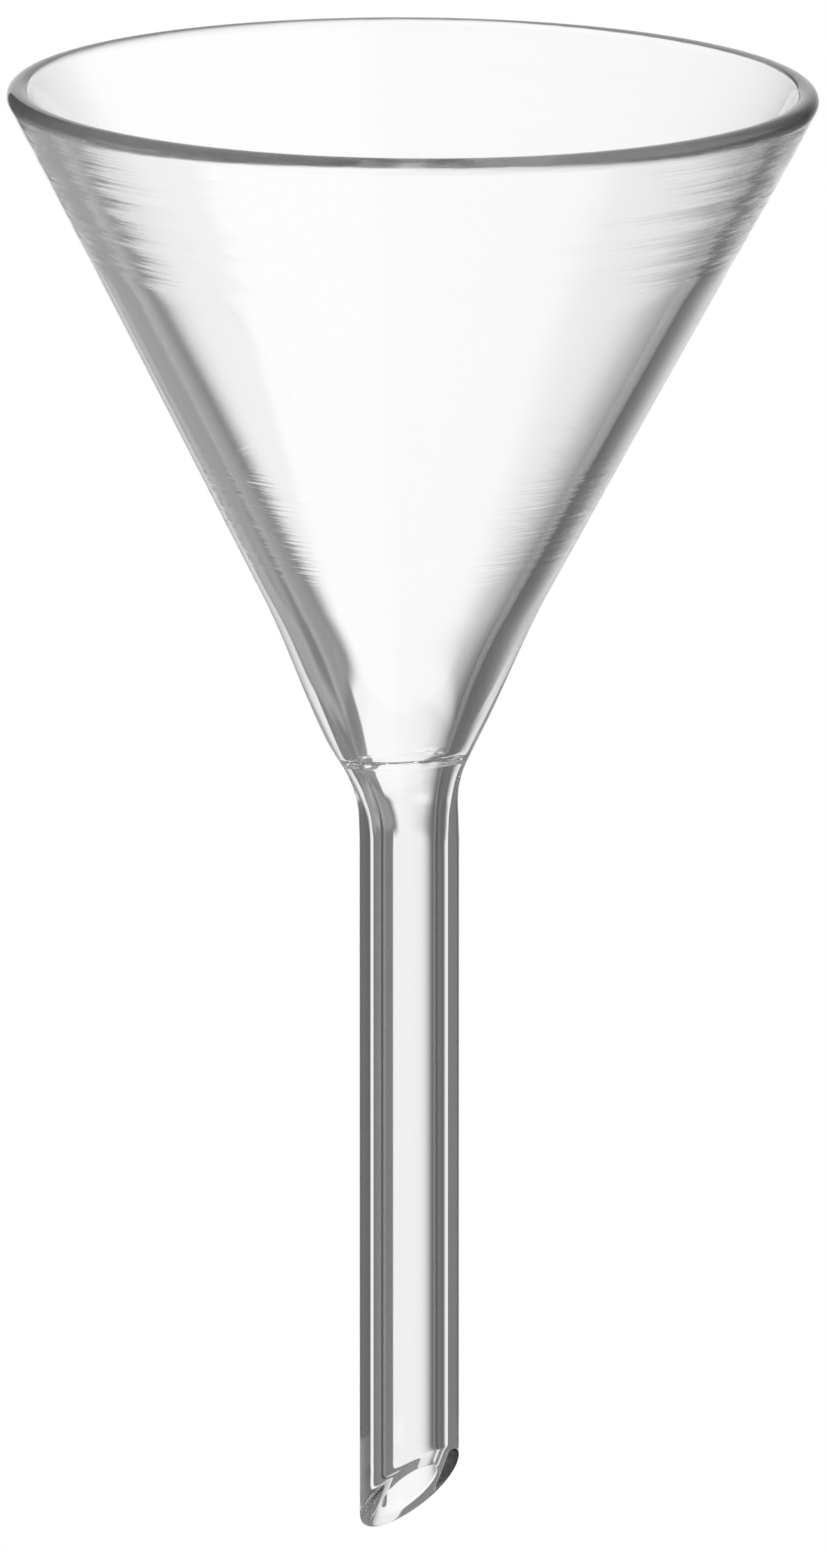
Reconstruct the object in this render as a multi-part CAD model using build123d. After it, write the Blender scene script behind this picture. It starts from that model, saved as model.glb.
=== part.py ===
from build123d import *
import os
from math import asin, atan2, cos, degrees, radians, sin, tan

# Laboratory filter funnel in clear borosilicate glass, blown and drawn in one piece.
# A thin conical bowl with a fire-polished rim is fused to a heavy-wall stem, which is
# ground off at a slant and fire polished so that it drains down one side.
# Millimetres, +Z up. The origin is on the stem's axis where the straight stem begins.

# Bowl
rim_diameter = 75.0
rim_bead = 2.1
bowl_wall = 1.9
bowl_depth = 63.5
shoulder_height = 15.8
shoulder_diameter = 26.5

# Throat, from the fused seam down to the straight stem
throat_length = 5.0
throat_diameter = 11.9
throat_bore = 7.4
bore_flare_length = 8.1
seam_width = 0.9
seam_height = 0.12

# Stem
stem_diameter = 9.25
bore_diameter = 4.9
stem_length = 68.3
tip_slant = 47.0
tip_heading = -49.0
tip_outer_polish = 0.7
tip_bore_polish = 0.45

# Heights and radii that follow from the sizes above
seam_z = throat_length
rim_top_z = seam_z + bowl_depth
stem_radius = stem_diameter / 2
bore_radius = bore_diameter / 2
bead_radius = rim_bead / 2
bead_centre = Vector(rim_diameter / 2 - bead_radius, rim_top_z - bead_radius)
shoulder_z = seam_z + shoulder_height


def flare_angle(rise, run):
    """Angle at the wide end of an arc that leaves a vertical line and moves out by rise over run."""
    return 2 * atan2(rise, run)


def bowl_directions():
    """Unit vectors up along the conical wall and square to it, outwards."""
    run = bead_centre - Vector(shoulder_diameter / 2, shoulder_z)
    slope = atan2(run.X, run.Y) + asin(bowl_wall / 2 / run.length)
    return Vector(sin(slope), cos(slope)), Vector(cos(slope), -sin(slope))


def throat_arc(narrow_radius, wide_radius, length):
    """Arc of the throat, vertical where it meets the stem and opening upwards to the seam."""
    angle = flare_angle(wide_radius - narrow_radius, length)
    radius = length / sin(angle)
    low = Vector(narrow_radius, seam_z - length)
    middle = low + Vector(radius * (1 - cos(angle / 2)), radius * sin(angle / 2))
    return ThreePointArc(low, middle, Vector(wide_radius, seam_z))


def rim_lip(along, out):
    """Fire-polished lip, a half round from the outer wall over the top to the inner wall."""
    outer, inner = bead_centre + out * bead_radius, bead_centre - out * bead_radius
    return ThreePointArc(outer, bead_centre + along * bead_radius, inner)


def seam_ridge(along, out):
    """Low rounded ridge that the fused joint leaves on the inside of the throat."""
    foot = Vector(throat_bore / 2, seam_z)
    crest = foot + along * (seam_width / 2) - out * seam_height
    return Spline(foot, crest, foot + along * seam_width)


def funnel_profile():
    """Half section of the funnel, closed along the square end of the stem."""
    along, out = bowl_directions()
    lip = rim_lip(along, out)
    ridge = seam_ridge(along, out)
    outer_shoulder = Vector(shoulder_diameter / 2, shoulder_z)
    inner_shoulder = outer_shoulder - out * bowl_wall
    outer_throat = throat_arc(stem_radius, throat_diameter / 2, throat_length)
    inner_throat = throat_arc(bore_radius, throat_bore / 2, bore_flare_length)
    end_z = -stem_length - stem_diameter
    edges = [
        Line((stem_radius, end_z), outer_throat @ 0),
        outer_throat,
        Spline(outer_throat @ 1, outer_shoulder, tangents=[outer_throat % 1, along]),
        Line(outer_shoulder, lip @ 0),
        lip,
        Line(lip @ 1, inner_shoulder),
        Spline(ridge @ 1, inner_shoulder, tangents=[along, along]),
        ridge,
        inner_throat,
        Line(inner_throat @ 0, (bore_radius, end_z)),
        Line((bore_radius, end_z), (stem_radius, end_z)),
    ]
    return Plane.XZ * make_face(edges)


def slant_cutter():
    """Block whose upper face is the slanted end of the stem, longest away from tip_heading."""
    size = 6 * stem_diameter
    point_loss = tip_outer_polish * (1 / tan(radians(90 - tip_slant) / 2) - 1)
    middle_z = stem_radius * tan(radians(tip_slant)) - stem_length - point_loss
    block = Pos(0, 0, -size / 2) * Box(size, size, size)
    return Pos(0, 0, middle_z) * Rot(0, 0, tip_heading) * Rot(0, -tip_slant, 0) * block


def slanted_face(body):
    """The only flat face of the funnel."""
    return body.faces().filter_by(GeomType.PLANE)[0]


def polished_tip(body):
    """Round the outer and the bore edge of the slanted end, as the flame leaves them."""
    body = fillet(slanted_face(body).outer_wire().edges(), tip_outer_polish)
    return fillet(slanted_face(body).inner_wires()[0].edges(), tip_bore_polish)


def funnel():
    """The whole funnel as one solid."""
    body = revolve(funnel_profile(), Axis.Z)
    body -= slant_cutter()
    return polished_tip(body)


if __name__ == "__main__":
    os.makedirs("parts", exist_ok=True)
    part = funnel()
    part.label = "funnel"
    export_step(part, "parts/funnel.step")
    box = part.bounding_box()
    print("funnel", [round(v, 2) for v in (*box.min, *box.max)], round(part.volume, 1))
    print("bowl half angle", round(degrees(atan2(bowl_directions()[0].X, bowl_directions()[0].Y)), 2))
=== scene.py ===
"""Clear glass filter funnel: the blown and fire-polished surface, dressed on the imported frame."""

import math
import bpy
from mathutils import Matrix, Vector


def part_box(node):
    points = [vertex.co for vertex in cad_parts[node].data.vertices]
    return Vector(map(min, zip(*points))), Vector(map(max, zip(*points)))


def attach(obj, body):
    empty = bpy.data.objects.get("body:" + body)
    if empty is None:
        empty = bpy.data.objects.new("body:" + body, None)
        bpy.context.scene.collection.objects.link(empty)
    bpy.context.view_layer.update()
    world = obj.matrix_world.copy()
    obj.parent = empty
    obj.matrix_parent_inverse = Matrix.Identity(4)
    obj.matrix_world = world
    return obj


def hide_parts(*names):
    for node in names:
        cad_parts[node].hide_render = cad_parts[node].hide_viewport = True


bl_info = {
    "name": "Laboratory Filter Funnel",
    "version": (1, 0, 0),
    "blender": (4, 5, 0),
    "location": "View3D > Sidebar > Funnel",
    "description": "Builds a clear glass filter funnel and the studio it is shown in",
    "category": "Object",
}

from collections import namedtuple

import bmesh
import bpy
from bpy.props import FloatProperty, FloatVectorProperty, IntProperty, PointerProperty
from mathutils import Matrix, Vector, noise
from mathutils.geometry import interpolate_bezier

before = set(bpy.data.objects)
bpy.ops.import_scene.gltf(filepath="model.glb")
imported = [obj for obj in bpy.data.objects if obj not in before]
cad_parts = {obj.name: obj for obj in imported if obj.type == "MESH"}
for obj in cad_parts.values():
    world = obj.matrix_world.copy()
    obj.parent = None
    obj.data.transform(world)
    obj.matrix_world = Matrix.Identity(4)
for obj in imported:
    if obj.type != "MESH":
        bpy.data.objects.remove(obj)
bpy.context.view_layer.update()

MM = 0.001
NODE = "funnel"
LOW, HIGH = (Vector(corner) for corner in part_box(NODE))
TIP_Z = LOW.z
RIM_Z = HIGH.z
LEAN_ROOM = 0.03 * MM
RIM_RADIUS = (HIGH.x - LOW.x) / 2 - LEAN_ROOM

# The photograph's frame: its height, its scale and the point in its middle
PHOTO_HEIGHT = 1553
PIXELS_PER_MM = 10.81
AIM = Vector((0.02 * MM, 0, 3.44 * MM))

# Stem radii that the section runs on past the tip, and up from it to where the stem's rows begin
SPARE_STEM = 2
TIP_REACH = 3

# Rows of mesh along each stretch of the section, the wedges that it is spun in round the axis, and the
# gap in metres at which their joints are merged
STEM_ROWS = 24
THROAT_ROWS = 14
LOWER_BOWL_ROWS = 30
CONE_ROWS = 34
BAND_ROWS = 52
LIP_ROWS = 16
INNER_BOWL_ROWS = 24
RIDGE_ROWS = 18
FLARE_ROWS = 20
BORE_ROWS = 20
WEDGES = 16
JOINT_GAP = 1e-7

# The flame at the tip spares the rings next to the plain stem. While it is held it narrows, by a share of
# its width, and moves down from above the cut to the point, in halves of the cut's height. The softening
# is how far each point moves towards the middle of its neighbours at a turn.
SPARED_RINGS = 3
FLAME_NARROWS = 0.45
FLAME_START = 1.2
FLAME_DROP = 2
SOFTENING = 0.5

# Changes per metre in the hand marks: sideways and down in the tooling rings, and in the seam's beads.
# The shift gives the inside of the bowl rings of its own.
RINGS_ACROSS = 30
RINGS_DOWN = 900
INNER_SHIFT = 50
SEAM_BEADS = 700

# Heights from the tooled band's foot between which it steps up, and depths under the rim between which it
# fades out
STEP_LOW = -0.3 * MM
STEP_HIGH = 0.5 * MM
RINGS_END = 1.5 * MM
RINGS_FADE = 4 * MM

# The throat's bend begins under the stem's top, as a share of the lean's rise. The tilted bowl sinks over
# the upper part of its height, so that the high side of the rim stays in the solid's box.
BEND_START = -0.25
SINK_START = 0.5

# Shares of the board's radius where its wash of white begins and ends
WASH_START = 0.15
WASH_END = 0.9

# Light runs a long way inside the wall before it leaves by the rim or the tip
LIGHT_BOUNCES = 80


def linear(hex_code):
    """Linear colour of an sRGB hex code such as "ffffff"."""
    parts = [int(hex_code[i:i + 2], 16) / 255 for i in (0, 2, 4)]
    steps = [c / 12.92 if c <= 0.04045 else ((c + 0.055) / 1.055) ** 2.4 for c in parts]
    return (*steps, 1.0)


class FunnelSizes(bpy.types.PropertyGroup):
    """Sizes of the glass, in metres"""

    wall: FloatProperty(
        name="Bowl wall", description="Thickness of the cone's wall under the rim", default=2.05 * MM,
        unit="LENGTH",
    )
    shoulder_wall: FloatProperty(
        name="Shoulder wall", description="Thickness of the wall at the shoulder", default=2.45 * MM,
        unit="LENGTH",
    )
    bead: FloatProperty(
        name="Rim bead", description="Thickness of the polished lip", default=2.1 * MM, unit="LENGTH"
    )
    shoulder_z: FloatProperty(
        name="Shoulder height", description="Where the cone ends and the lower bowl begins",
        default=20.8 * MM, unit="LENGTH",
    )
    shoulder_radius: FloatProperty(
        name="Shoulder radius", description="Outer radius at the shoulder", default=13.25 * MM, unit="LENGTH"
    )
    seam_z: FloatProperty(
        name="Seam place", description="Height of the fused seam over the origin", default=5.0 * MM,
        unit="LENGTH",
    )
    throat_radius: FloatProperty(
        name="Throat radius", description="Outer radius at the seam", default=5.95 * MM, unit="LENGTH"
    )
    throat_bore: FloatProperty(
        name="Throat bore", description="Inner radius at the seam", default=3.7 * MM, unit="LENGTH"
    )
    bowl_bore: FloatProperty(
        name="Bowl foot", description="Inner radius of the bowl just above the seam", default=4.25 * MM,
        unit="LENGTH",
    )
    flare: FloatProperty(
        name="Bore flare", description="Length of the bore's flare under the seam", default=8.1 * MM,
        unit="LENGTH",
    )
    stem_radius: FloatProperty(
        name="Stem radius", description="Outer radius of the stem", default=4.625 * MM, unit="LENGTH"
    )
    bore_radius: FloatProperty(
        name="Bore radius", description="Radius of the bore", default=2.45 * MM, unit="LENGTH"
    )
    slant: FloatProperty(
        name="Tip slant", description="Angle of the cut from level", default=math.radians(45),
        subtype="ANGLE",
    )
    heading: FloatProperty(
        name="Tip heading", description="Way that the short side of the tip faces",
        default=math.radians(-49), subtype="ANGLE",
    )
    melt_loss: FloatProperty(
        name="Melt loss", description="How much of the sharp point melts back", default=0.34 * MM,
        unit="LENGTH",
    )
    melt_rings: IntProperty(name="Melt rings", description="Rings of mesh near the cut", default=16, min=4)
    melt_spacing: FloatProperty(
        name="Melt spacing", description="Distance between those rings", default=0.14 * MM, unit="LENGTH"
    )
    melt_turns: IntProperty(name="Melt turns", description="How long the flame is held", default=30, min=0)
    seam_width: FloatProperty(
        name="Ridge width", description="Width of the ridge inside the seam", default=1.0 * MM,
        unit="LENGTH",
    )
    seam_height: FloatProperty(
        name="Ridge height", description="Height of the ridge inside the seam", default=0.26 * MM,
        unit="LENGTH",
    )
    seam_rise: FloatProperty(
        name="Ridge place", description="Height of the ridge's middle over the seam", default=0.8 * MM,
        unit="LENGTH",
    )
    seam_tilt: FloatProperty(
        name="Ridge slope", description="How much the ridge rises towards +X", default=0.05
    )
    seam_beading: FloatProperty(
        name="Seam beading", description="How unevenly the seam is fused", default=0.8, min=0
    )
    tooled_band: FloatProperty(
        name="Tooled band", description="Depth of the tooled band below the rim", default=15.5 * MM,
        unit="LENGTH",
    )
    ring_height: FloatProperty(
        name="Ring height", description="Height of the tooling rings", default=0.02 * MM, unit="LENGTH"
    )
    step_height: FloatProperty(
        name="Step height", description="Step at the lower end of the tooled band", default=0.03 * MM,
        unit="LENGTH",
    )
    stem_shift: FloatProperty(
        name="Stem shift", description="How far the stem's axis stands from the rim's centre",
        default=-0.32 * MM, unit="LENGTH",
    )
    throat_lean: FloatProperty(
        name="Throat lean", description="Sideways bend of the throat", default=-0.69 * MM, unit="LENGTH"
    )
    lean_rise: FloatProperty(
        name="Lean rise", description="Height at which the throat's bend is complete",
        default=7.4 * MM, unit="LENGTH",
    )
    bowl_lean: FloatProperty(
        name="Bowl lean", description="Sideways shift of the bowl per unit of height", default=0.0188
    )
    rim_tilt: FloatProperty(
        name="Rim tilt", description="Angle of the rim from level", default=math.radians(0.4),
        subtype="ANGLE",
    )
    turns: IntProperty(name="Turns", description="Steps round the axis", default=256, min=24)


class GlassLooks(bpy.types.PropertyGroup):
    """Colour, index and surface marks of the glass"""

    colour: FloatVectorProperty(
        name="Glass colour", description="Colour of the glass", default=linear("ffffff"), size=4,
        subtype="COLOR", min=0, max=1,
    )
    index: FloatProperty(name="Index", description="Index of refraction", default=1.473, min=1)
    darkening: FloatProperty(
        name="Darkening", description="Light lost per metre of glass, as an absorption density", default=6.0,
        min=0,
    )
    streak_length: FloatProperty(
        name="Streak length", description="Length of a rolled streak", default=30 * MM, unit="LENGTH"
    )
    streak_pitch: FloatProperty(
        name="Streak pitch", description="Height from one streak to the next", default=0.8 * MM,
        unit="LENGTH",
    )
    streak_depth: FloatProperty(
        name="Streak depth", description="Depth of the streaks", default=0.02 * MM, unit="LENGTH"
    )
    streak_fade: FloatProperty(
        name="Streak fade", description="How softly a band of streaks ends", default=1.2 * MM, unit="LENGTH"
    )
    faint_streaks: FloatProperty(
        name="Faint streaks", description="Share of the depth outside the bands", default=0.06,
        subtype="FACTOR", min=0, max=1,
    )
    rolled_low: FloatProperty(
        name="Rolled band foot", description="Where the lower band of streaks begins", default=24 * MM,
        unit="LENGTH",
    )
    rolled_high: FloatProperty(
        name="Rolled band top", description="Where the lower band of streaks ends", default=35 * MM,
        unit="LENGTH",
    )


class StudioLooks(bpy.types.PropertyGroup):
    """Camera, floor and surroundings"""

    lens: FloatProperty(
        name="Lens", description="Focal length of the camera in millimetres", default=900.0, unit="CAMERA"
    )
    elevation: FloatProperty(
        name="Camera height angle", description="Angle from which the camera looks down",
        default=math.radians(11.3), subtype="ANGLE",
    )
    room_level: FloatProperty(
        name="Room level", description="Brightness of the room round the panels", default=0.22, min=0
    )
    sky_level: FloatProperty(name="Sky level", description="Brightness overhead", default=0.8, min=0)
    sky_edge: FloatProperty(
        name="Sky edge", description="Height angle at which the room turns to sky",
        default=math.radians(40), subtype="ANGLE",
    )
    sky_blur: FloatProperty(
        name="Sky blur", description="How softly the room turns to sky", default=math.radians(30),
        subtype="ANGLE",
    )
    board_colour: FloatVectorProperty(
        name="Board colour", description="Colour of the board under the glass", default=linear("f4f4f4"),
        size=4, subtype="COLOR", min=0, max=1,
    )
    floor_radius: FloatProperty(
        name="Floor radius", description="Radius of the board", default=0.3, unit="LENGTH"
    )
    floor_drop: FloatProperty(
        name="Floor drop", description="Gap between the tip and the board", default=0.06, unit="LENGTH"
    )
    wash: FloatProperty(
        name="Wash", description="How white the camera sees the board's middle", default=0.6,
        subtype="FACTOR", min=0, max=1,
    )


def sizes():
    return bpy.context.scene.funnel_sizes


def glass_looks():
    return bpy.context.scene.glass_looks


def studio():
    return bpy.context.scene.studio_looks


# Section of the glass

def line_to(bm, last, end, pieces):
    """Carry the section on in a straight line, cut into equal pieces."""
    start = last.co.copy()
    for step in range(1, pieces + 1):
        last = bmesh.ops.extrude_vert_indiv(bm, verts=[last])["verts"][0]
        last.co = start.lerp(end, step / pieces)
    return last


def arc_about(bm, last, centre, angle, steps):
    """Carry the section on round a centre, by a signed angle in the section's plane."""
    spun = bmesh.ops.spin(bm, geom=[last], cent=centre, axis=(0, -1, 0), angle=angle, steps=steps)
    return next(part for part in spun["geom_last"] if isinstance(part, bmesh.types.BMVert))


def curve_to(bm, last, tangent, end, end_tangent, pieces):
    """Carry the section on along a smooth curve that leaves and arrives along the two tangents."""
    reach = (end - last.co).length / 3
    leaving, arriving = last.co + tangent * reach, end - end_tangent * reach
    points = interpolate_bezier(last.co, leaving, arriving, end, pieces + 1)
    for point in points[1:]:
        last = line_to(bm, last, point, 1)
    return last


def section_point(x, z):
    """Point of the half section, which lies in the XZ plane."""
    return Vector((x, 0, z))


def flare_centre(narrow, wide, length, top):
    """Centre and turn of the arc that leaves an upright wall and opens to a wide top."""
    turn = 2 * math.atan2(wide - narrow, length)
    radius = length / math.sin(turn)
    return section_point(narrow + radius, top - length), turn


def bowl_directions(s):
    """Unit vectors up along the conical wall and square to it, outwards."""
    bead = section_point(RIM_RADIUS - s.bead / 2, RIM_Z - s.bead / 2)
    run = bead - section_point(s.shoulder_radius, s.shoulder_z)
    slope = math.atan2(run.x, run.z) + math.asin(s.wall / 2 / run.length)
    along = section_point(math.sin(slope), math.cos(slope))
    out = section_point(math.cos(slope), -math.sin(slope))
    return bead, along, out


def draw_section(bm, s):
    """Half section, from the foot of the stem up the outside and down the inside."""
    bead, along, out = bowl_directions(s)
    foot = TIP_Z - SPARE_STEM * s.stem_radius
    tip_clear = TIP_Z + TIP_REACH * s.stem_radius
    shoulder = section_point(s.shoulder_radius, s.shoulder_z)
    inner_shoulder = shoulder - out * s.shoulder_wall
    outer_lip, inner_lip = bead + out * (s.bead / 2), bead - out * (s.bead / 2)
    tooled = 1 - s.tooled_band / (outer_lip - shoulder).length
    last = bm.verts.new(section_point(s.stem_radius, foot))
    last = line_to(bm, last, section_point(s.stem_radius, tip_clear), 1)
    last = line_to(bm, last, section_point(s.stem_radius, 0), STEM_ROWS)
    centre, turn = flare_centre(s.stem_radius, s.throat_radius, s.seam_z, s.seam_z)
    last = arc_about(bm, last, centre, -turn, THROAT_ROWS)
    opening = section_point(math.sin(turn), math.cos(turn))
    last = curve_to(bm, last, opening, shoulder, along, LOWER_BOWL_ROWS)
    last = line_to(bm, last, shoulder.lerp(outer_lip, tooled), CONE_ROWS)
    last = line_to(bm, last, outer_lip, BAND_ROWS)
    last = arc_about(bm, last, bead, math.pi, LIP_ROWS)
    leaning = (inner_lip - inner_shoulder).normalized()
    last = line_to(bm, last, inner_lip.lerp(inner_shoulder, 1 - tooled), BAND_ROWS)
    last = line_to(bm, last, inner_shoulder, CONE_ROWS)
    centre, turn = flare_centre(s.bore_radius, s.throat_bore, s.flare, s.seam_z)
    falling = section_point(-math.sin(turn), -math.cos(turn))
    bowl_foot = section_point(s.bowl_bore, s.seam_z + s.seam_rise + s.seam_width / 2)
    last = curve_to(bm, last, -leaning, bowl_foot, falling, INNER_BOWL_ROWS)
    last = line_to(bm, last, section_point(s.throat_bore, s.seam_z), RIDGE_ROWS)
    last = arc_about(bm, last, centre, turn, FLARE_ROWS)
    last = line_to(bm, last, section_point(s.bore_radius, tip_clear), BORE_ROWS)
    line_to(bm, last, section_point(s.bore_radius, foot), 1)


def cut_tip(bm, s):
    """Cut the stem off at a slant, close the cut from wall to bore, and ring the glass near it finely."""
    middle = section_point(0, TIP_Z - s.melt_loss + s.stem_radius * math.tan(s.slant))
    facing = Vector((math.sin(s.slant), 0, -math.cos(s.slant)))
    facing.rotate(Matrix.Rotation(s.heading, 3, "Z"))
    for ring in range(s.melt_rings, -1, -1):
        near = [f for f in bm.faces if f.calc_center_median().z < middle.z + TIP_REACH * s.stem_radius]
        geom = {part for f in near for part in (*f.verts, *f.edges, f)}
        cut = bmesh.ops.bisect_plane(
            bm, geom=list(geom), plane_co=middle - facing * ring * s.melt_spacing, plane_no=facing,
            clear_outer=ring == 0,
        )["geom_cut"]
    rim = [part for part in cut if isinstance(part, bmesh.types.BMEdge)]
    face = bmesh.ops.bridge_loops(bm, edges=rim)["faces"]
    across = {e for f in face for e in f.edges} - set(rim)
    bmesh.ops.subdivide_edges(bm, edges=list(across), cuts=s.melt_rings, use_grid_fill=True)
    return middle, facing


def melt_tip(bm, s, middle, facing):
    """Let the cut's edges flow round in a flame that is held longest at the point."""
    for turn in range(s.melt_turns):
        held = turn / s.melt_turns
        reach = (s.melt_rings - SPARED_RINGS) * s.melt_spacing * (1 - FLAME_NARROWS * held)
        top = middle.z + s.stem_radius * math.tan(s.slant) * (FLAME_START - FLAME_DROP * held)
        soft = [v for v in bm.verts if v.co.z < top and (v.co - middle).dot(facing) > -reach]
        bmesh.ops.smooth_vert(
            bm, verts=soft, factor=SOFTENING, use_axis_x=True, use_axis_y=True, use_axis_z=True
        )


def ease(low, high, value):
    """Smooth step from 0 at low to 1 at high."""
    part = min(max((value - low) / (high - low), 0), 1)
    return part * part * (3 - 2 * part)


def hump(middle, half_width, value):
    """Smooth hump, 1 at the middle and 0 from half_width away."""
    return 1 - ease(0, half_width, abs(value - middle))


def tooling_rise(s, place, inside):
    """Rings that the tool leaves under the rim, and on the outside the step where the band begins."""
    foot = RIM_Z - s.tooled_band
    reach = ease(foot + STEP_LOW, foot + STEP_HIGH, place.z)
    reach *= ease(RIM_Z - RINGS_END, RIM_Z - RINGS_FADE, place.z)
    lane = place.z * RINGS_DOWN + INNER_SHIFT * inside
    ring = noise.noise(Vector((place.x * RINGS_ACROSS, place.y * RINGS_ACROSS, lane)))
    return reach * (s.ring_height * ring + (0 if inside else s.step_height))


def seam_rise(s, place):
    """Uneven ridge that the fused seam leaves inside the throat."""
    middle = s.seam_z + s.seam_rise + s.seam_tilt * place.x
    bead = 1 + s.seam_beading * noise.noise(Vector((place.x * SEAM_BEADS, place.y * SEAM_BEADS, 0)))
    return s.seam_height * bead * hump(middle, s.seam_width / 2, place.z)


def blower_marks(bm, s):
    """Raise the low marks that hand work leaves in the glass, along its normals."""
    for vert in bm.verts:
        place, normal = vert.co, vert.normal
        facing_axis = normal.x * place.x + normal.y * place.y < 0
        rise = tooling_rise(s, place, normal.z > 0 or facing_axis)
        if facing_axis:
            rise += seam_rise(s, place)
        vert.co += normal * rise


def settle(bm, s):
    """Bend the turned shape as the blower left it: throat off to one side, bowl leaning back over it."""
    for vert in bm.verts:
        x, z = vert.co.x, vert.co.z
        tilt = s.rim_tilt * ease(s.seam_z, RIM_Z, z)
        lean = s.throat_lean * ease(BEND_START * s.lean_rise, s.lean_rise, z)
        lean += s.bowl_lean * (min(max(z, s.lean_rise), RIM_Z - s.lean_rise) - s.lean_rise)
        vert.co.x += s.stem_shift + lean
        vert.co.z -= math.tan(tilt) * (x + RIM_RADIUS * ease(SINK_START, 1, z / RIM_Z))


def turn_section(bm, s):
    """Spin the section through one wedge, repeat the wedge round the axis and merge the joints."""
    about = {"cent": (0, 0, 0), "axis": (0, 0, 1)}
    wedge = math.tau / WEDGES
    bmesh.ops.spin(bm, geom=bm.verts[:] + bm.edges[:], angle=wedge, steps=s.turns // WEDGES, **about)
    whole = bm.verts[:] + bm.edges[:] + bm.faces[:]
    bmesh.ops.spin(bm, geom=whole, angle=math.tau - wedge, steps=WEDGES - 1, use_duplicate=True, **about)
    bmesh.ops.remove_doubles(bm, verts=bm.verts[:], dist=JOINT_GAP)


def glass_funnel_mesh(s):
    """The funnel's glass as one closed skin, turned, cut, melted and marked by hand."""
    bm = bmesh.new()
    draw_section(bm, s)
    turn_section(bm, s)
    melt_tip(bm, s, *cut_tip(bm, s))
    bmesh.ops.recalc_face_normals(bm, faces=bm.faces[:])
    bm.normal_update()
    blower_marks(bm, s)
    settle(bm, s)
    for face in bm.faces:
        face.smooth = True
    mesh = bpy.data.meshes.new("blown_glass")
    bm.to_mesh(mesh)
    bm.free()
    return mesh


# Materials

def add(tree, kind, settings=None, *values, **links):
    """Add a node with its settings, which are attributes or inputs by name, and then fill its inputs.

    The values fill them in order and the links by name, each with a socket or a plain value.
    """
    node = tree.nodes.new(kind)
    for name, value in (settings or {}).items():
        if name in node.inputs:
            node.inputs[name].default_value = value
        else:
            setattr(node, name, value)
    for place, value in (*enumerate(values), *links.items()):
        if isinstance(value, bpy.types.NodeSocket):
            tree.links.new(value, node.inputs[place])
        else:
            node.inputs[place].default_value = value
    return node


def soft_edge(tree, value, edge, blur, rising):
    """1 on one side of an edge and 0 on the other, with a smooth blur between."""
    before, after = (0.0, 1.0) if rising else (1.0, 0.0)
    return add(tree, "ShaderNodeMapRange", {
        "interpolation_type": "SMOOTHSTEP", "From Min": edge - blur, "From Max": edge + blur,
        "To Min": before, "To Max": after,
    }, Value=value).outputs["Result"]


def soft_band(tree, value, low, low_blur, high, high_blur):
    """1 between two edges and 0 outside them, with a smooth blur at each."""
    rise = soft_edge(tree, value, low, low_blur, True)
    fall = soft_edge(tree, value, high, high_blur, False)
    return add(tree, "ShaderNodeMath", {"operation": "MULTIPLY"}, rise, fall).outputs[0]


def new_material(name):
    """New material with an empty node tree."""
    material = bpy.data.materials.new(name)
    material.use_nodes = True
    material.node_tree.nodes.clear()
    return material, material.node_tree


def streak_strength(tree, height, s, look):
    """Share of the streaks' depth by height: whole in two bands, and faint over the rest of the cone."""
    strength = 0.0
    bands = (
        (s.shoulder_z, RIM_Z, look.faint_streaks),
        (RIM_Z - s.tooled_band, RIM_Z, 1.0),
        (look.rolled_low, look.rolled_high, 1.0),
    )
    for low, high, share in bands:
        band = soft_band(tree, height, low, look.streak_fade, high, look.streak_fade)
        depth = add(tree, "ShaderNodeMath", {"operation": "MULTIPLY"}, band, share).outputs[0]
        strength = add(tree, "ShaderNodeMath", {"operation": "MAXIMUM"}, strength, depth).outputs[0]
    return strength


def borosilicate_glass(s, look):
    """Clear borosilicate glass, blown and fire polished: colourless, mirror smooth, index 1.473.

    The rollers that shaped the cone leave fine level streaks, less than a millimetre apart. Light that
    runs far along inside the wall is lost, more than real glass takes off, so the lip shows dark.
    """
    material, tree = new_material("clear_borosilicate_glass")
    place = add(tree, "ShaderNodeTexCoord").outputs["Object"]
    scale = (1 / look.streak_length, 1 / look.streak_length, 1 / look.streak_pitch)
    spread = add(tree, "ShaderNodeMapping", {"Scale": scale}, Vector=place).outputs["Vector"]
    streaks = add(
        tree, "ShaderNodeTexNoise", {"Scale": 1.0, "Detail": 4.0, "Roughness": 0.62}, Vector=spread
    ).outputs[0]
    height = add(tree, "ShaderNodeSeparateXYZ", Vector=place).outputs["Z"]
    strength = streak_strength(tree, height, s, look)
    bump = add(tree, "ShaderNodeBump", {"Distance": look.streak_depth}, Height=streaks, Strength=strength)
    shader = add(tree, "ShaderNodeBsdfPrincipled", {
        "Base Color": look.colour, "Roughness": 0.0, "IOR": look.index, "Transmission Weight": 1.0,
    }, Normal=bump.outputs["Normal"])
    inside = add(tree, "ShaderNodeVolumeAbsorption", {
        "Color": linear("000000"), "Density": look.darkening,
    }).outputs["Volume"]
    add(tree, "ShaderNodeOutputMaterial", Surface=shader.outputs["BSDF"], Volume=inside)
    return material


class FUNNEL_OT_glass(bpy.types.Operator):
    """Build the blown glass funnel in one piece"""

    bl_idname = "funnel.glass"
    bl_label = "Blown Glass Funnel"

    def execute(self, context):
        piece = bpy.data.objects.new("blown_glass_funnel", glass_funnel_mesh(sizes()))
        context.scene.collection.objects.link(piece)
        piece.data.materials.append(borosilicate_glass(sizes(), glass_looks()))
        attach(piece, "root")
        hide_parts(NODE)
        return {"FINISHED"}


# Studio

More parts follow.
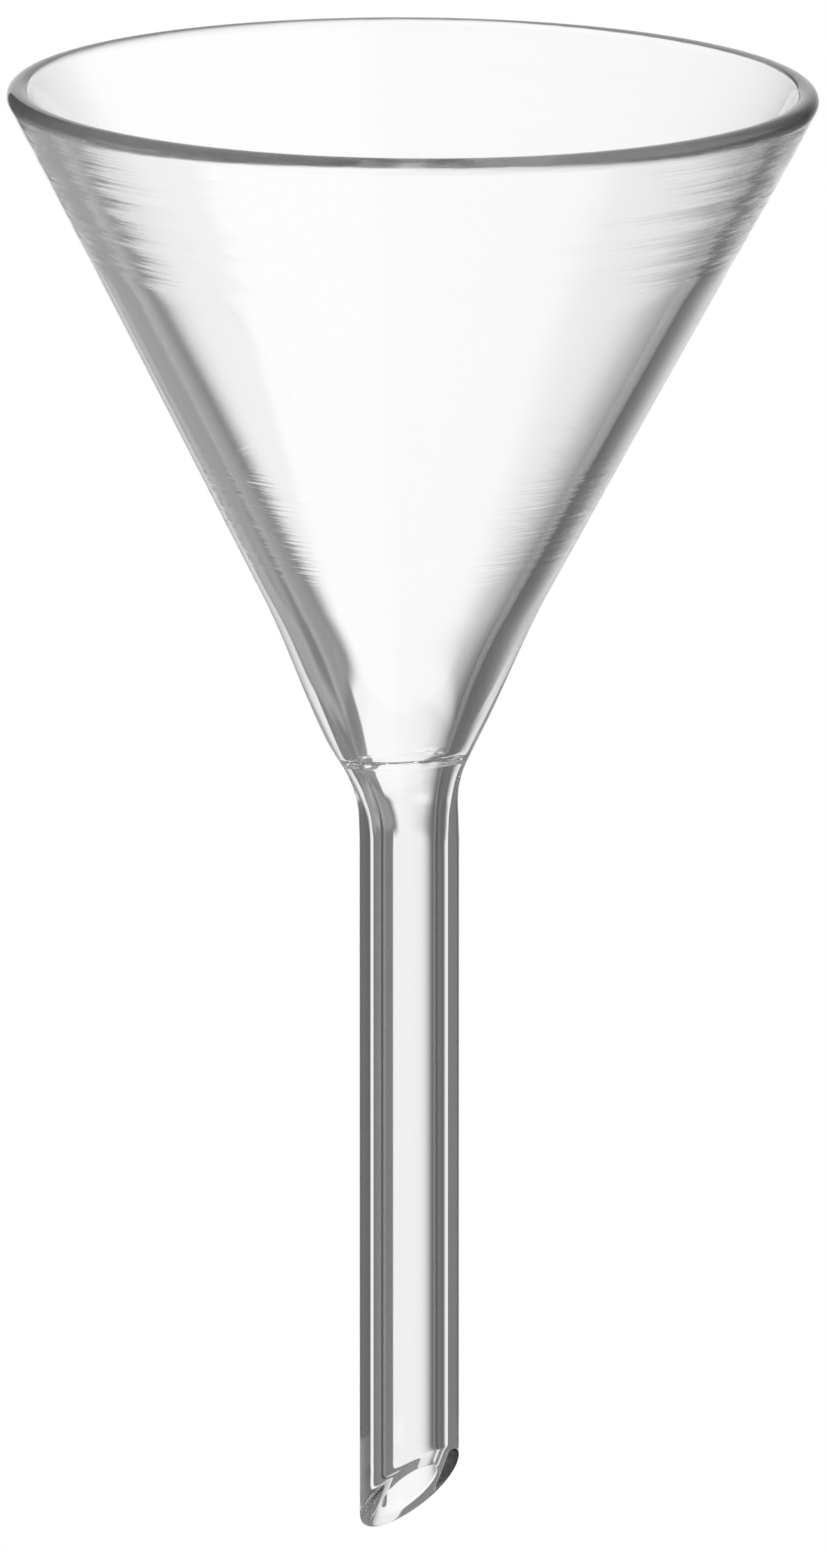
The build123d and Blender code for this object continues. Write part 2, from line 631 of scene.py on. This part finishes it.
# White panels and dark cards round the glass. Each has its left and right edge in degrees of azimuth,
# from +Y towards +X, its low and high edge in degrees above the horizon, the blur of the four edges, and
# its brightness. A later one covers an earlier one.
SoftBox = namedtuple("SoftBox", "name left right low high left_blur right_blur low_blur high_blur level")
SOFT_BOXES = (
    SoftBox("dark card on the right", 60, 112, -40, 6, 8, 8, 6, 4, 0.1),
    SoftBox("dark card on the left", -116, -66, -40, 6, 3, 3, 6, 4, 0.08),
    SoftBox("dark strip right of the window", 26, 60, -60, 6, 8, 8, 6, 4, 0.14),
    SoftBox("grey card left of the window", -38, -13, -32, -16, 5, 3, 3, 2, 0.34),
    SoftBox("high panel on the right", 55, 165, 9, 75, 10, 10, 5, 10, 1.0),
    SoftBox("low panel on the camera's side", 95, 285, -100, -52, 12, 12, 8, 1, 1.1),
    SoftBox("window behind, lower part", -9, 11, -50, -10, 3, 14, 12, 1, 1.02),
    SoftBox("window behind, upper part", -14.4, 15, -14.3, 45, 1, 17, 1.6, 15, 1.0),
    SoftBox("left window, for the view from the right", -104, -76, -7.5, 14, 2, 6, 1, 3, 1.0),
    SoftBox("front window, for the view from behind", 121, 149, -45, -13.6, 2, 6, 8, 0.6, 1.0),
    SoftBox("low window, for the view from the front right", -60, -34, -30, -22, 7, 7, 4, 3, 0.4),
)


def box_share(tree, azimuth, elevation, box):
    """How far a direction lies inside a soft box, from 0 outside it to 1."""
    half = (box.right - box.left) / 2
    across = map(math.radians, (-half, box.left_blur, half, box.right_blur))
    upright = map(math.radians, (box.low, box.low_blur, box.high, box.high_blur))
    centre = math.radians((box.left + box.right) / 2)
    turned = add(tree, "ShaderNodeMath", {"operation": "SUBTRACT"}, azimuth, centre).outputs[0]
    turned = add(tree, "ShaderNodeMath", {"operation": "WRAP"}, turned, -math.pi, math.pi).outputs[0]
    wide = soft_band(tree, turned, *across)
    tall = soft_band(tree, elevation, *upright)
    return add(tree, "ShaderNodeMath", {"operation": "MULTIPLY", "label": box.name}, wide, tall).outputs[0]


def build_world(tree, look):
    """White to the camera; round the glass, the panels and the grey of the room."""
    tree.nodes.clear()
    direction = add(tree, "ShaderNodeTexCoord").outputs["Generated"]
    axes = add(tree, "ShaderNodeSeparateXYZ", Vector=direction).outputs
    azimuth = add(tree, "ShaderNodeMath", {"operation": "ARCTAN2"}, axes["X"], axes["Y"]).outputs[0]
    elevation = add(tree, "ShaderNodeMath", {"operation": "ARCSINE"}, axes["Z"]).outputs[0]
    level = soft_edge(tree, elevation, look.sky_edge, look.sky_blur, True)
    contrast = look.sky_level - look.room_level
    level = add(
        tree, "ShaderNodeMath", {"operation": "MULTIPLY_ADD"}, level, contrast, look.room_level
    ).outputs[0]
    for box in SOFT_BOXES:
        share = box_share(tree, azimuth, elevation, box)
        gap = add(tree, "ShaderNodeMath", {"operation": "SUBTRACT"}, box.level, level).outputs[0]
        level = add(tree, "ShaderNodeMath", {"operation": "MULTIPLY_ADD"}, gap, share, level).outputs[0]
    seen = add(tree, "ShaderNodeLightPath").outputs["Is Camera Ray"]
    strength = add(tree, "ShaderNodeMath", {"operation": "MAXIMUM"}, seen, level).outputs[0]
    back = add(tree, "ShaderNodeBackground", {"Color": linear("ffffff")}, Strength=strength)
    add(tree, "ShaderNodeOutputWorld", Surface=back.outputs[0])


def floor_paint(look):
    """Matt white board, washed out to the camera towards its edge so that it runs into the background."""
    material, tree = new_material("matt_white_board")
    board = add(tree, "ShaderNodeBsdfDiffuse", {"Color": look.board_colour})
    white = add(tree, "ShaderNodeEmission", {"Color": linear("ffffff"), "Strength": 1.0})
    place = add(tree, "ShaderNodeTexCoord").outputs["Object"]
    flat = add(tree, "ShaderNodeVectorMath", {"operation": "MULTIPLY"}, place, (1, 1, 0)).outputs[0]
    reach = add(tree, "ShaderNodeVectorMath", {"operation": "LENGTH"}, flat).outputs["Value"]
    fade = add(tree, "ShaderNodeMapRange", {
        "interpolation_type": "SMOOTHSTEP", "From Min": WASH_START * look.floor_radius,
        "From Max": WASH_END * look.floor_radius, "To Min": look.wash,
    }, Value=reach).outputs["Result"]
    seen = add(tree, "ShaderNodeLightPath").outputs["Is Camera Ray"]
    wash = add(tree, "ShaderNodeMath", {"operation": "MULTIPLY"}, seen, fade).outputs[0]
    mix = add(tree, "ShaderNodeMixShader", {}, wash, board.outputs[0], white.outputs[0])
    add(tree, "ShaderNodeOutputMaterial", Surface=mix.outputs[0])
    return material


def build_floor(look):
    """Round board well below the tip. The glass looks past it, at the panels."""
    bm = bmesh.new()
    bmesh.ops.create_circle(bm, cap_ends=True, segments=96, radius=look.floor_radius)
    bmesh.ops.translate(bm, verts=bm.verts[:], vec=(0, 0, TIP_Z - look.floor_drop))
    mesh = bpy.data.meshes.new("board")
    bm.to_mesh(mesh)
    bm.free()
    board = bpy.data.objects.new("board", mesh)
    mesh.materials.append(floor_paint(look))
    board.visible_transmission = False
    board.visible_glossy = False
    bpy.context.scene.collection.objects.link(board)


def build_camera(look):
    """Long lens, so that the stem's sides stay parallel as they do in the photograph."""
    data = bpy.data.cameras.new("camera")
    data.lens = look.lens
    distance = PHOTO_HEIGHT / PIXELS_PER_MM * MM * data.lens / data.sensor_width
    data.clip_end = 4 * distance
    camera = bpy.data.objects.new("camera", data)
    away = Vector((0, -math.cos(look.elevation), math.sin(look.elevation)))
    camera.location = AIM + away * distance
    camera.rotation_euler = away.to_track_quat("Z", "Y").to_euler()
    bpy.context.scene.collection.objects.link(camera)
    bpy.context.scene.camera = camera


class FUNNEL_OT_studio(bpy.types.Operator):
    """Set up the camera, the floor and the light"""

    bl_idname = "funnel.studio"
    bl_label = "Studio"

    def execute(self, context):
        scene = context.scene
        scene.view_settings.view_transform = "Standard"
        scene.cycles.max_bounces = LIGHT_BOUNCES
        scene.cycles.transmission_bounces = LIGHT_BOUNCES
        scene.cycles.glossy_bounces = LIGHT_BOUNCES
        scene.world = scene.world or bpy.data.worlds.new("studio")
        scene.world.use_nodes = True
        build_world(scene.world.node_tree, studio())
        build_floor(studio())
        build_camera(studio())
        return {"FINISHED"}


class FUNNEL_PT_tools(bpy.types.Panel):
    """Steps that build the funnel"""

    bl_label = "Filter Funnel"
    bl_idname = "FUNNEL_PT_tools"
    bl_space_type = "VIEW_3D"
    bl_region_type = "UI"
    bl_category = "Funnel"

    def draw(self, context):
        for operator in (FUNNEL_OT_glass, FUNNEL_OT_studio):
            self.layout.operator(operator.bl_idname)


CLASSES = (FunnelSizes, GlassLooks, StudioLooks, FUNNEL_OT_glass, FUNNEL_OT_studio, FUNNEL_PT_tools)


def register():
    for cls in CLASSES:
        bpy.utils.register_class(cls)
    bpy.types.Scene.funnel_sizes = PointerProperty(type=FunnelSizes)
    bpy.types.Scene.glass_looks = PointerProperty(type=GlassLooks)
    bpy.types.Scene.studio_looks = PointerProperty(type=StudioLooks)


def unregister():
    del bpy.types.Scene.studio_looks
    del bpy.types.Scene.glass_looks
    del bpy.types.Scene.funnel_sizes
    for cls in reversed(CLASSES):
        bpy.utils.unregister_class(cls)


def main():
    register()
    bpy.ops.funnel.glass()
    bpy.ops.funnel.studio()


if __name__ == "__main__":
    main()
